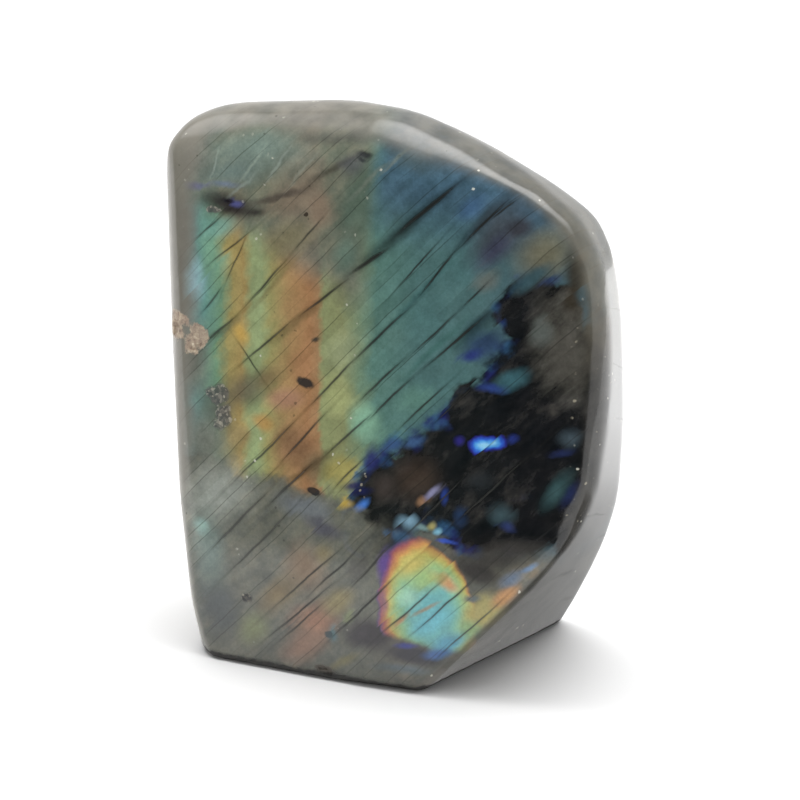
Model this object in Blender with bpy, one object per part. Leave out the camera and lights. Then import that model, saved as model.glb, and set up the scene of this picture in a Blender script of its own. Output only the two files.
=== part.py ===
"""Polished labradorite freeform: one piece of stone, ground to broad faces, rubbed round at the edges and
sawn flat underneath so that it stands by itself.

Frame: +Z up, the front face looks along -Y, and the origin is the middle of the underside of the box
round the stone."""

import math
from collections import namedtuple

import bmesh
import bpy
from mathutils import Matrix, Vector, noise

# --- Driving dimensions, in metres and degrees -------------------------------------------------------
HEART = Vector((0.032, 0.025, 0.054))  # the point inside the stone that the ground faces are measured from
BLANK_SIDE = 0.200  # the rough block that the faces are ground from
RUBBINGS = 3  # how many times all the edges are taken off
EASING = 0.32  # how wide the edges of a new facet are taken off next, as a share of its own rounding

# heading: the way a face looks, 0 to the front (-Y) and 90 to the right (+X); rise: how far it looks up
# reach: its distance from the heart; rounding: how far from its edges the rubbing starts
Ground = namedtuple("Ground", "heading rise reach rounding")
GROUND_FACES = {
    "front": Ground(2.5, 8.8, 0.0200, 0.003),
    "front_left": Ground(-9, 8.6, 0.0232, 0.003),
    "back": Ground(176, 3, 0.0160, 0.010),
    "nape": Ground(168, 38, 0.0440, 0.010),
    "left": Ground(-96, -5.7, 0.0420, 0.007),
    "left_foot": Ground(-92, -10.5, 0.0433, 0.007),
    "toe": Ground(-45, -11, 0.0494, 0.002),
    "right": Ground(92.5, 2, 0.0441, 0.008),
    "slope": Ground(69, -37.2, 0.0504, 0.008),
    "heel": Ground(81.5, -26, 0.0489, 0.006),
    "hip": Ground(88, -9, 0.0460, 0.008),
    "top": Ground(207, 79, 0.0533, 0.008),
    "brow": Ground(114, 75, 0.0512, 0.010),
    "shoulder": Ground(107, 62.3, 0.0488, 0.008),
    "left_corner": Ground(-100, 47, 0.0658, 0.007),
    "high_corner": Ground(96, 45, 0.0510, 0.006),
    "low_corner": Ground(94, 16, 0.0477, 0.008),
    "base": Ground(0, -90, 0.0540, 0.001),
}
SPECIAL_ROUNDINGS = (
    ({"front", "slope"}, 0.0016),  # left nearly sharp
    ({"front", "front_left"}, 0.022),  # blended into one gently bowed face
    ({"front", "top"}, 0.0045),
    ({"front", "brow"}, 0.0045),
    ({"front", "shoulder"}, 0.0045),
    ({"front_left", "top"}, 0.0045),
    ({"front_left", "left_corner"}, 0.006),
    ({"front_left", "left"}, 0.0045),
    ({"left", "left_foot"}, 0.014),
    ({"back", "heel"}, 0.003),
    ({"back", "slope"}, 0.002),
    ({"front", "base"}, 0.0018),
    ({"front_left", "base"}, 0.0018),
)

# centre: where the knock was, in the same place as the ground faces; size: half of the lump it took out
Chip = namedtuple("Chip", "centre size turn")
CHIPS = (
    Chip(Vector((-0.0112, 0.0082, 0.0640)), Vector((0.0036, 0.0034, 0.0024)), 20),
    Chip(Vector((-0.0044, 0.0062, 0.0616)), Vector((0.0032, 0.0026, 0.0022)), -38),
    Chip(Vector((0.0262, -0.0062, 0.0022)), Vector((0.0026, 0.0040, 0.0012)), 8),
)
CHIP_DENTS = 0.22  # how uneven a chip's hollow is, as a share of its size
CHIP_DENT_PITCH = 1.7  # how close together those dents are, over a lump of radius one
CHIP_VARIETY = 1000  # takes the dents of each chip from another place, by where the chip is


def look_of(face):
    """The outward direction of a ground face."""
    heading, rise = math.radians(face.heading), math.radians(face.rise)
    return Vector((math.sin(heading) * math.cos(rise), -math.cos(heading) * math.cos(rise), math.sin(rise)))


def clear_scene():
    for old in list(bpy.data.objects):
        bpy.data.objects.remove(old)


def cut_away(block, point, look, rounding):
    """Takes off all that lies beyond a plane, and closes the cut with one flat side that remembers how
    wide its own edges are to be rounded."""
    everything = block.verts[:] + block.edges[:] + block.faces[:]
    cut = bmesh.ops.bisect_plane(
        block, geom=everything, plane_co=point, plane_no=look, clear_outer=True, dist=1e-7
    )
    rim = [part for part in cut["geom_cut"] if isinstance(part, bmesh.types.BMEdge)]
    if len(rim) < 3:
        return
    for side in bmesh.ops.edgeloop_fill(block, edges=rim)["faces"]:
        side[block.faces.layers.float["rounding"]] = rounding


def ground_block():
    """The flat-sided block: a cube with every ground face cut on it."""
    block = bmesh.new()
    block.faces.layers.float.new("rounding")
    bmesh.ops.create_cube(block, size=BLANK_SIDE)
    bmesh.ops.translate(block, verts=block.verts, vec=HEART)
    for face in GROUND_FACES.values():
        look = look_of(face)
        cut_away(block, HEART + look * face.reach, look, face.rounding)
    bmesh.ops.recalc_face_normals(block, faces=block.faces)
    return block


def name_of(normal):
    """The name of the ground face that looks this way."""
    return max(GROUND_FACES, key=lambda name: look_of(GROUND_FACES[name]).dot(normal))


def first_rounding(edge):
    """How wide an edge is rounded: as wide as the less rounded of its two sides, but for a few edges."""
    names = {name_of(side.normal) for side in edge.link_faces}
    for pair, rounding in SPECIAL_ROUNDINGS:
        if names == pair:
            return rounding
    return min(GROUND_FACES[name].rounding for name in names)


def rub_edges(block, rounding_of):
    """Takes every edge off with a narrow facet that looks half way between its two sides."""
    facets = []
    for edge in block.edges:
        width = rounding_of(edge)
        one, other = (side.normal.copy() for side in edge.link_faces)
        middle = (edge.verts[0].co + edge.verts[1].co) / 2
        look = (one + other).normalized()
        depth = width * math.sin(one.angle(other) / 2)
        facets.append((middle - look * depth, look, width * EASING))
    for point, look, rounding in facets:
        cut_away(block, point, look, rounding)
    bmesh.ops.recalc_face_normals(block, faces=block.faces)


def shaped_stone():
    """The ground block with its edges rubbed: the first time by hand rules, then finer and finer."""
    block = ground_block()
    memory = block.faces.layers.float["rounding"]
    rub_edges(block, first_rounding)
    for _ in range(RUBBINGS - 1):
        rub_edges(block, lambda edge: min(side[memory] for side in edge.link_faces))
    return block


def middle_of_underside(block):
    """The middle of the underside of the box round the block."""
    across = [vert.co.x for vert in block.verts]
    along = [vert.co.y for vert in block.verts]
    return Vector(((min(across) + max(across)) / 2, (min(along) + max(along)) / 2, 0))


def labradorite():
    material = bpy.data.materials.new("labradorite")
    material.use_nodes = True
    shader = material.node_tree.nodes["Principled BSDF"]
    shader.inputs["Base Color"].default_value = (0.10, 0.13, 0.12, 1)
    shader.inputs["Roughness"].default_value = 0.15
    shader.inputs["Metallic"].default_value = 0
    return material


def new_object(name, body, collection):
    """Puts a finished body into the scene as a named object."""
    made = bpy.data.objects.new(name, bpy.data.meshes.new(name))
    body.to_mesh(made.data)
    body.free()
    collection.objects.link(made)
    return made


def chip_lump(chip):
    """The lump that a knock took out of an edge: a small dented ball, flattened and turned."""
    lump = bmesh.new()
    bmesh.ops.create_icosphere(lump, subdivisions=2, radius=1)
    for vert in lump.verts:
        vert.co *= 1 + CHIP_DENTS * noise.noise(vert.co * CHIP_DENT_PITCH + chip.centre * CHIP_VARIETY)
    bmesh.ops.scale(lump, verts=lump.verts, vec=chip.size)
    turn = Matrix.Rotation(math.radians(chip.turn), 3, "Y")
    bmesh.ops.rotate(lump, verts=lump.verts, matrix=turn)
    bmesh.ops.translate(lump, verts=lump.verts, vec=chip.centre)
    return lump


def main():
    clear_scene()
    parts = bpy.data.collections.new("labradorite_freeform")
    cutters = bpy.data.collections.new("cutters")
    cutters.hide_render = True
    for collection in (parts, cutters):
        bpy.context.scene.collection.children.link(collection)

    block = shaped_stone()
    shift = -middle_of_underside(block)
    bmesh.ops.translate(block, verts=block.verts, vec=shift)
    stone = new_object("stone", block, parts)
    stone.data.materials.append(labradorite())

    for number, chip in enumerate(CHIPS, start=1):
        lump = chip_lump(chip)
        bmesh.ops.translate(lump, verts=lump.verts, vec=shift)
        cutter = new_object(f"chip_cutter_{number}", lump, cutters)
        cutter.display_type = "WIRE"
        cutter.hide_render = True
        cut = stone.modifiers.new(f"chip_{number}", "BOOLEAN")
        cut.operation = "DIFFERENCE"
        cut.solver = "EXACT"
        cut.object = cutter


main()
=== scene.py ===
# %% [markdown]
# # A polished piece of labradorite
# Labradorite is a grey feldspar with thin layers inside that throw back blue, green and gold light. This
# one was sawn flat underneath, ground to broad faces on a wheel and polished until its edges turned round,
# so that it stands by itself on a table. The lesson makes the stone, then its stage, then its colours.

# %% Load the measured frame
import math

import bmesh
import bpy
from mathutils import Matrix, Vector
from mathutils.kdtree import KDTree


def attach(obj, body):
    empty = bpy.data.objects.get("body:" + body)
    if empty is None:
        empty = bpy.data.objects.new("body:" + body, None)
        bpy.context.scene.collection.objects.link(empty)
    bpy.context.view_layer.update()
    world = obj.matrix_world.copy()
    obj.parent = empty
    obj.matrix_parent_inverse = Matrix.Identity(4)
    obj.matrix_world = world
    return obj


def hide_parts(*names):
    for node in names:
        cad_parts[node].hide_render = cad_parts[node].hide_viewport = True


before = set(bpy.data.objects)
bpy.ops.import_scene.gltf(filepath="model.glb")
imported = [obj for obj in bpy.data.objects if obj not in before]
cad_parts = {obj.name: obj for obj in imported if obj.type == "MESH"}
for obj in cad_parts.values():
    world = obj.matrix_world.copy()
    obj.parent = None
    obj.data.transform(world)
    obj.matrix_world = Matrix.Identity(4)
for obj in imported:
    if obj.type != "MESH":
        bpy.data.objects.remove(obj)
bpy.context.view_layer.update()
MM = 0.001

# %% [markdown]
# ## The ground faces
# A lapidary cuts a stone by holding it against a flat wheel: every touch leaves one flat face. The same is
# done here. A block far larger than the stone is added, and in edit mode Bisect cuts it by one plane for
# each ground face, clears what lies outside and fills the cut. A cage of loose points would need a faces
# list by hand; planes keep every face truly flat and easy to move.

# %% The planes of the ground faces
HEART = Vector((1.008, 3.723, 54)) * MM  # the point inside the stone that the faces are measured from
BLANK_SIDE = 200 * MM  # the rough block that the faces are ground from
SAME_POINT = 1e-7  # a cut this close to a point goes through it, metres

# way it looks, degrees from the front; rise, degrees; reach from the heart, mm; edge rounding, mm
GROUND_FACES = {
    "front": (2.5, 8.8, 20.0, 3),
    "front left": (-9, 8.6, 23.2, 3),
    "back": (176, 3, 16.0, 10),
    "nape": (168, 38, 44.0, 10),
    "left": (-96, -5.7, 42.0, 7),
    "left foot": (-92, -10.5, 43.3, 7),
    "toe": (-45, -11, 49.4, 2),
    "right": (92.5, 2, 44.1, 8),
    "slope": (69, -37.2, 50.4, 8),
    "heel": (81.5, -26, 48.9, 6),
    "hip": (88, -9, 46.0, 8),
    "top": (207, 79, 53.3, 8),
    "brow": (114, 75, 51.2, 10),
    "shoulder": (107, 62.3, 48.8, 8),
    "left corner": (-100, 47, 65.8, 7),
    "high corner": (96, 45, 51.0, 6),
    "low corner": (94, 16, 47.7, 8),
    "base": (0, -90, 54.0, 1),
}


def look_of(heading, rise):
    """The outward direction of a face."""
    heading, rise = math.radians(heading), math.radians(rise)
    return Vector((math.sin(heading) * math.cos(rise), -math.cos(heading) * math.cos(rise), math.sin(rise)))


def cut_off(point, look):
    """Cuts the selected object in edit mode, drops what lies beyond the plane and fills the cut."""
    bpy.ops.mesh.select_all(action="SELECT")
    bpy.ops.mesh.bisect(
        plane_co=point, plane_no=look, use_fill=True, clear_outer=True, threshold=SAME_POINT
    )


def pick(piece):
    """Makes one object the only selected one and the active one."""
    bpy.ops.object.select_all(action="DESELECT")
    piece.select_set(True)
    bpy.context.view_layer.objects.active = piece


bpy.ops.object.select_all(action="DESELECT")
bpy.ops.mesh.primitive_cube_add(size=BLANK_SIDE, location=HEART)
stone = bpy.context.object
stone.name = "polished_stone"
bpy.ops.object.transform_apply()
bpy.ops.object.mode_set(mode="EDIT")
cut_planes = []  # every plane so far: the way it looks, and how wide its own edges are to be rounded
for heading, rise, reach, rounding in GROUND_FACES.values():
    look = look_of(heading, rise)
    cut_off(HEART + look * reach * MM, look)
    cut_planes.append((look, rounding * MM))
bpy.ops.object.mode_set(mode="OBJECT")
print("ground block:", len(stone.data.polygons), "flat faces")

# %% [markdown]
# ## Rubbing the edges round
# Polishing wears a sharp edge first to a narrow facet, then wears that facet's own edges, and so on until
# the eye sees a curve. A Bevel modifier would do it in one step, but it gives up where short edges meet.
# So each edge is cut off by a plane half way between its two sides, and the round is repeated with finer
# cuts. The front's edges were worn less than the others, and the edge over the slope is almost sharp.

# %% Round after round of finer cuts
RUBBINGS = 3
EASING = 0.32  # how much narrower the next round cuts
WORN = {  # edges that differ from the narrower rounding of their two faces, mm
    ("front", "slope"): 1.6,
    ("front", "front left"): 22,
    ("front", "top"): 10,
    ("front", "brow"): 8.5,
    ("front", "shoulder"): 4.5,
    ("front left", "top"): 8,
    ("front left", "left corner"): 6,
    ("front", "right"): 5,
    ("front", "hip"): 3.5,
    ("front", "heel"): 1.8,
    ("front", "low corner"): 5,
    ("front", "high corner"): 5,
    ("front left", "left"): 4.5,
    ("left", "left foot"): 14,
    ("back", "heel"): 3,
    ("back", "slope"): 2,
    ("front", "base"): 1.8,
    ("front left", "base"): 1.8,
}
worn_pairs = {frozenset(pair): rounding * MM for pair, rounding in WORN.items()}
face_names = list(GROUND_FACES)


def rub_edges():
    """Cuts every edge off once, half way between its two sides."""
    block = bmesh.from_edit_mesh(stone.data)
    block.normal_update()
    known = KDTree(len(cut_planes))
    for number, (look, _) in enumerate(cut_planes):
        known.insert(look, number)
    known.balance()
    facets = []
    for edge in block.edges:
        one, other = (face.normal.copy() for face in edge.link_faces)
        numbers = [known.find(side)[1] for side in (one, other)]
        width = min(cut_planes[number][1] for number in numbers)
        if max(numbers) < len(face_names):
            width = worn_pairs.get(frozenset(face_names[number] for number in numbers), width)
        middle = (edge.verts[0].co + edge.verts[1].co) / 2
        look = (one + other).normalized()
        facets.append((middle - look * width * math.sin(one.angle(other) / 2), look, width * EASING))
    for point, look, rounding in facets:
        cut_off(point, look)
        cut_planes.append((look, rounding))


pick(stone)
bpy.ops.object.mode_set(mode="EDIT")
for rubbing in range(RUBBINGS):
    rub_edges()
    print("rubbing", rubbing + 1, "leaves", len(bmesh.from_edit_mesh(stone.data).faces), "facets")
bpy.ops.mesh.select_all(action="SELECT")
bpy.ops.mesh.normals_make_consistent(inside=False)
bpy.ops.object.mode_set(mode="OBJECT")
print("stone, mm:", [round(side / MM, 2) for side in stone.dimensions])

# %% [markdown]
# ## From facets to a polished skin
# The rubbed block is still made of long thin facets, and smooth shading over those would show streaks in
# the gloss. A voxel Remesh lays an even skin of small faces over the same form. A Smooth modifier then
# wears the last ridges away, as felt and polish do. A vertex group tells it where to work: hardly at all
# along the sawn base and along the edges that were kept crisp.

# %% An even skin of points
VOXEL = 0.65 * MM  # side of a small face
pick(stone)
grid = stone.modifiers.new("even grid", "REMESH")
grid.mode = "VOXEL"
grid.voxel_size = VOXEL
bpy.ops.object.modifier_apply(modifier=grid.name)
print("skin:", len(stone.data.polygons), "small faces")


def depths_under(name):
    """How far every point of the stone lies under one ground face."""
    heading, rise, reach, _ = GROUND_FACES[name]
    look = look_of(heading, rise)
    return [reach * MM - (vert.co - HEART).dot(look) for vert in stone.data.vertices]


def rising(value, start, end):
    """0 up to start, 1 from end on, and smooth between."""
    share = min(max((value - start) / (end - start), 0), 1)
    return share * share * (3 - 2 * share)


# %% The last polish
LEAST_WEAR = 0.06  # share of the polish that reaches even the crispest places
CRISP_EDGES = (("front", "slope", LEAST_WEAR), ("front", "heel", 0.25), ("front", "hip", 0.35))
CRISP_REACH = (2 * MM, 6 * MM)  # from the edge: least worn up to here, and fully worn from there on
SAWN_REACH = (0.4 * MM, 5 * MM)  # the same above the sawn base
FELT = 0.5  # how strongly one round of polishing evens the skin
ROUNDS = 34
wear = [rising(vert.co.z, *SAWN_REACH) for vert in stone.data.vertices]
for one, other, least in CRISP_EDGES:
    for number, pair in enumerate(zip(depths_under(one), depths_under(other))):
        wear[number] = min(wear[number], max(least, rising(max(pair), *CRISP_REACH)))
soft = stone.vertex_groups.new(name="worn round")
for number, share in enumerate(wear):
    soft.add([number], max(LEAST_WEAR, share), "REPLACE")
polish = stone.modifiers.new("polish", "SMOOTH")
polish.factor = FELT
polish.iterations = ROUNDS
polish.vertex_group = soft.name
bpy.ops.object.modifier_apply(modifier=polish.name)
bpy.ops.object.shade_smooth()
print("polished, mm:", [round(side / MM, 2) for side in stone.dimensions])

# %% [markdown]
# ## Knocks
# Two knocks took small lumps off the left edge and one took a flake off the rim of the foot. Feldspar
# breaks rough there, so each hollow is cut by a dented ball with an exact Boolean, and the edges of the
# break are marked sharp, or smooth shading would melt them into the polish.

# %% Chips out of the edges
CHIPS = {  # centre, half size, turn: mm and degrees
    "upper chip": ((-42.2, -13.1, 64.0), (3.6, 3.4, 2.4), 20),
    "chip beside it": ((-35.4, -15.1, 61.6), (3.2, 2.6, 2.2), -38),
    "flake of the foot": ((-4.8, -27.5, 2.2), (2.6, 4.0, 1.2), 8),
}
DENT = 2.2 * MM  # width of a dent and range of its depth
SHARP = 32  # a crease steeper than this is the edge of a break, degrees
dents = bpy.data.textures.new("dents", "CLOUDS")
dents.noise_scale = DENT
dents.noise_depth = 3
for name, (centre, half, turn) in CHIPS.items():
    bpy.ops.mesh.primitive_ico_sphere_add(subdivisions=4, radius=1, location=[part * MM for part in centre])
    lump = bpy.context.object
    lump.name = name
    lump.scale = [part * MM for part in half]
    lump.rotation_euler = (0, math.radians(turn), 0)
    bpy.ops.object.transform_apply()
    uneven = lump.modifiers.new("dents", "DISPLACE")
    uneven.texture = dents
    uneven.strength = DENT
    uneven.mid_level = 0.5  # half of the dents stand out and half go in
    bpy.ops.object.modifier_apply(modifier=uneven.name)
pick(lump)
for name in CHIPS:
    bpy.data.objects[name].select_set(True)
bpy.ops.object.join()
lumps = bpy.context.object
pick(stone)
knocks = stone.modifiers.new("knocks", "BOOLEAN")
knocks.operation = "DIFFERENCE"
knocks.solver = "EXACT"
knocks.use_self = True
knocks.object = lumps
bpy.ops.object.modifier_apply(modifier=knocks.name)
bpy.data.objects.remove(lumps)
bpy.ops.object.mode_set(mode="EDIT")
bpy.ops.mesh.select_all(action="DESELECT")
bpy.ops.mesh.edges_select_sharp(sharpness=math.radians(SHARP))
bpy.ops.mesh.mark_sharp()
bpy.ops.object.mode_set(mode="OBJECT")
print("chipped:", len(stone.data.polygons), "small faces")
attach(stone, "root")
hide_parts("stone")

# %% [markdown]
# ## Stage and light
# White paper under the stone and a pale room round it give soft light from everywhere. The stone is as
# glossy as glass, so most of what shows its form is mirrored light. The lamps only light it; their mirror
# images come from cards with soft borders that nothing but the polish sees. A long card overhead draws the
# bright line along the top edge, a black one in front keeps the face deep, and a bright sheet lying behind
# on the right whitens the side that turns away. That sheet glows less beside the foot: a painted shade of
# the floor round the stone, seen in the polish.

# %% The white floor
bpy.context.scene.view_settings.view_transform = "Standard"


def fill_in(made, values):
    """Sets several sockets of a node, by name."""
    for socket, value in values.items():
        made.inputs[socket].default_value = value


bpy.ops.mesh.primitive_plane_add(size=12, location=(0, 0, 0))
floor = bpy.context.object
floor.name = "floor"
white_paper = bpy.data.materials.new("white paper")
white_paper.use_nodes = True
fill_in(
    white_paper.node_tree.nodes["Principled BSDF"],
    {"Base Color": (0.8, 0.8, 0.8, 1), "Roughness": 1, "Specular IOR Level": 0},
)
floor.data.materials.append(white_paper)
print("floor:", [round(side, 1) for side in floor.dimensions[:2]], "m")

# %% The pale room
room = bpy.data.worlds.new("studio")
bpy.context.scene.world = room
room.use_nodes = True
sky = room.node_tree
background = sky.nodes["Background"]
way = sky.nodes.new("ShaderNodeTexCoord")
height = sky.nodes.new("ShaderNodeSeparateXYZ")
fade = sky.nodes.new("ShaderNodeMapRange")
fill_in(fade, {"From Max": 0.6, "To Min": 1.05, "To Max": 0.35})  # bright walls, a darker ceiling
fill_in(background, {"Color": (1, 1, 1, 1)})
sky.links.new(way.outputs["Generated"], height.inputs[0])
sky.links.new(height.outputs["Z"], fade.inputs["Value"])
sky.links.new(fade.outputs[0], background.inputs["Strength"])

SUN_ANGLE, SUN_TURN = 70, (-15, 5, 0)  # degrees: so wide a sun leaves only soft shade
bpy.ops.object.light_add(type="SUN", location=(0, 0, 2))
sun = bpy.context.object
sun.name = "even light"
sun.data.energy = 2.2
sun.data.angle = math.radians(SUN_ANGLE)
sun.rotation_euler = [math.radians(angle) for angle in SUN_TURN]
sun.visible_glossy = False
print("room:", room.name, "with", sun.name)


# %% Lamps, and the cards that the polish mirrors
def lamp(name, place, size, energy):
    """A large lamp that lights the stone but leaves its mirror image to a soft card."""
    bpy.ops.object.light_add(type="AREA", location=place)
    made = bpy.context.object
    made.name = name
    made.data.shape = "RECTANGLE"
    made.data.size, made.data.size_y = size
    made.data.energy = energy
    made.visible_glossy = False


def card(name, glow, place, size, turn=0, fade=None):
    """A card that only the polish sees. Its glow may fade to another with the distance from a middle;
    fade gives the middle on the card, the reach where the fading ends, the share of it where it starts
    and the new glow."""
    bpy.ops.mesh.primitive_plane_add(size=1, location=place)
    made = bpy.context.object
    made.name = name
    made.scale = (*size, 1)
    bpy.ops.object.transform_apply(location=False, rotation=False)
    made.rotation_euler = (math.radians(turn), 0, 0)
    paper = bpy.data.materials.new(name)
    paper.use_nodes = True
    sheet = paper.node_tree.nodes["Principled BSDF"]
    fill_in(sheet, {"Base Color": (0, 0, 0, 1), "Specular IOR Level": 0})
    fill_in(sheet, {"Emission Color": (1, 1, 1, 1), "Emission Strength": glow})
    if fade:
        middle, reach, start, rest = fade
        plan = paper.node_tree
        where = plan.nodes.new("ShaderNodeTexCoord")
        away = plan.nodes.new("ShaderNodeMapping")
        away.vector_type = "TEXTURE"
        fill_in(away, {"Location": (*middle, 0), "Scale": (*reach, 1)})
        length = plan.nodes.new("ShaderNodeVectorMath")
        length.operation = "LENGTH"
        fall = plan.nodes.new("ShaderNodeMapRange")
        fall.interpolation_type = "SMOOTHSTEP"
        fill_in(fall, {"From Min": start, "From Max": 1, "To Min": glow, "To Max": rest})
        plan.links.new(where.outputs["Object"], away.inputs[0])
        plan.links.new(away.outputs[0], length.inputs[0])
        plan.links.new(length.outputs["Value"], fall.inputs["Value"])
        plan.links.new(fall.outputs[0], sheet.inputs["Emission Strength"])
    made.data.materials.append(paper)
    made.visible_camera = False
    made.visible_diffuse = False
    made.visible_shadow = False
    made.visible_transmission = False


# places and sizes in metres, energies in watts
lamp("softbox", (0.08, 0.13, 0.9), (1.1, 0.40), 6.4)
lamp("dim softbox", (-0.72, 0.15, 0.85), (0.75, 0.7), 2.4)
card(
    "image of the softbox", 5.0, (0.18, 0.10, 0.9), (1.4, 0.56), fade=((0.07, 0), (0.70, 0.28), 0.3, 0)
)
card(
    "image of the dim softbox", 1.5, (-0.70, 0.15, 0.85), (0.95, 0.9),
    fade=((0, 0), (0.48, 0.45), 0.3, 0),
)
card("black card in front", 0, (0, -0.22, 0.45), (3, 1), 90)
# the sheet's glow is dimmest beside the foot and rises away from it: painted shade of the floor round the
# stone
card(
    "bright sheet on the right", 0.2, (0.19, 0.303, 0.0015), (0.40, 0.654),
    fade=((-0.115, -0.333), (0.25, 0.19), 0.05, 2.2),
)

# %% [markdown]
# ## Camera
# A long lens from a little above and to the right shows the broad front, the top edge and a strip of the
# right side.

# %% Camera
CAMERA_PLACE = (0.14351, -0.38360, 0.18283)
CAMERA_TURN = (72, 0, 20.2417)  # degrees: looking 18 down, and a little to the left
bpy.ops.object.camera_add(
    location=CAMERA_PLACE, rotation=[math.radians(angle) for angle in CAMERA_TURN]
)
camera = bpy.context.object
camera.data.lens = 100
camera.data.sensor_width = 36
camera.data.clip_start = 0.01
bpy.context.scene.camera = camera
print("camera:", camera.data.lens, "mm lens,", round(camera.location.length, 2), "m from the stone")

# %% [markdown]
# ## Painting with nodes
# The finish is one material made of nodes, so it fits the stone at any size of picture and runs on round
# the sides. Everything is placed in "face" millimetres: across to the right, up the leaning front face, and
# depth into the stone. A few short helpers make nodes and join them, so that each later cell reads as a
# list of what lies where in the stone.

# %% Helpers that make nodes
labradorite = bpy.data.materials.new("polished labradorite")
labradorite.use_nodes = True
shader = labradorite.node_tree.nodes["Principled BSDF"]


def put(socket, value):
    """Joins a node's output to a socket, or sets the socket to a plain value."""
    if isinstance(value, bpy.types.NodeSocket):
        labradorite.node_tree.links.new(value, socket)
    else:
        socket.default_value = value


def node(kind, inputs=(), **settings):
    """A new node with its settings and inputs; the inputs are a dictionary of socket name or number."""
    made = labradorite.node_tree.nodes.new("ShaderNode" + kind)
    for name, value in settings.items():
        setattr(made, name, value)
    for name, value in dict(inputs).items():
        put(made.inputs[name], value)
    return made


def maths(operation, first, second=0.0, third=0.0):
    """The result of one Math node."""
    return node("Math", {0: first, 1: second, 2: third}, operation=operation).outputs[0]


def times(first, second):
    """Two values multiplied; as a mask, what lies inside both."""
    return maths("MULTIPLY", first, second)


def strongest(values):
    """The greatest of several values at every place; each is taken in as soon as it is made."""
    most = None
    for value in values:
        most = value if most is None else maths("MAXIMUM", most, value)
    return most


def swing(value, amount, around):
    """Pushes a value up and down by another that lies between 0 and 1."""
    return maths("MULTIPLY_ADD", maths("SUBTRACT", value, 0.5), amount, around)


def turned(coordinates, turn, scale=(1, 1, 1), place=(0, 0, 0)):
    """Coordinates turned by angles in degrees, after being scaled, then moved."""
    angles = [math.radians(angle) for angle in turn]
    mapping = node(
        "Mapping", {"Vector": coordinates, "Rotation": angles, "Scale": scale, "Location": place}
    )
    return mapping.outputs[0]


def parts_of(coordinates):
    """Across, depth and up of some coordinates."""
    return node("SeparateXYZ", {0: coordinates}).outputs


def clouds(coordinates, pitch, detail=2.0, roughness=0.5, colour=False):
    """Soft random clouds from 0 to 1, about so many millimetres from one to the next."""
    noise_node = node(
        "TexNoise",
        {"Vector": coordinates, "Scale": 1 / pitch, "Detail": detail, "Roughness": roughness},
    )
    return noise_node.outputs["Color" if colour else "Fac"]


def wander(coordinates, pitch, reach, detail=2.0):
    """The same coordinates, pushed about by clouds, so that nothing placed on them has a ruled edge."""
    push = clouds(coordinates, pitch, detail, colour=True)
    red, green, blue = node("SeparateColor", {0: push}).outputs
    push = node("CombineXYZ", {0: red, 1: green, 2: blue}).outputs[0]
    push = node("VectorMath", {0: push, 1: (-0.5,) * 3}, operation="ADD").outputs[0]
    factors = {0: push, 1: (2 * reach,) * 3, 2: coordinates}
    return node("VectorMath", factors, operation="MULTIPLY_ADD").outputs[0]


def step_between(value, start, end, low=0.0, high=1.0):
    """Goes smoothly from low to high while the value goes from start to end."""
    made = node(
        "MapRange",
        {"Value": value, "From Min": start, "From Max": end, "To Min": low, "To Max": high},
        interpolation_type="SMOOTHSTEP",
        clamp=False,  # a smooth step never leaves its range, and an idle clamp costs a node
    )
    return made.outputs[0]


def spread(value, start, end, low, high):
    """Goes evenly from low to high while the value goes from start to end."""
    limits = {"Value": value, "From Min": start, "From Max": end, "To Min": low, "To Max": high}
    return node("MapRange", limits).outputs[0]


def tint(shade):
    """The linear colour that Blender works with, from a value in the Hex field of its colour picker."""
    parts = [part / 255 for part in bytes.fromhex(shade)]
    linear = [part / 12.92 if part <= 0.04045 else ((part + 0.055) / 1.055) ** 2.4 for part in parts]
    return (*linear, 1.0)


def blend(under, over, amount, mode="MIX"):
    """Lays one colour over another by an amount from 0 to 1."""
    mix = node("Mix", {0: amount, 6: under, 7: over}, data_type="RGBA", blend_type=mode)
    return mix.outputs[2]


def lit(shade, factor):
    """A colour made brighter or darker by a factor."""
    grey = node("CombineColor", {0: factor, 1: factor, 2: factor}).outputs[0]
    return blend(shade, grey, 1.0, "MULTIPLY")


def ramp(value, *stops):
    """Colours along a value: each stop is a place from 0 to 1 and a Hex colour."""
    colours = node("ValToRGB", {0: value})
    steps = colours.color_ramp.elements
    while len(steps) < len(stops):
        steps.new(0.5)
    for step, (position, _) in zip(steps, stops):
        step.position = position
    for step, (_, shade) in zip(steps, stops):
        step.color = tint(shade)
    return colours.outputs[0]


def note(what):
    """Prints how far the painting has come."""
    print(f"{what}: {len(labradorite.node_tree.nodes)} nodes so far")


# %% [markdown]
# ## Face millimetres
# Object coordinates are metres from the middle of the base. Two turns make them follow the front face.
# The stone parts along one set of parallel planes, its cleavage, so a third turn gives coordinates along
# and across those. Everything wanders a little, and each thick slab has slid a little along its
# neighbour, so colours break off at a crack and go on beside it, as they do in the real stone.

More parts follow.
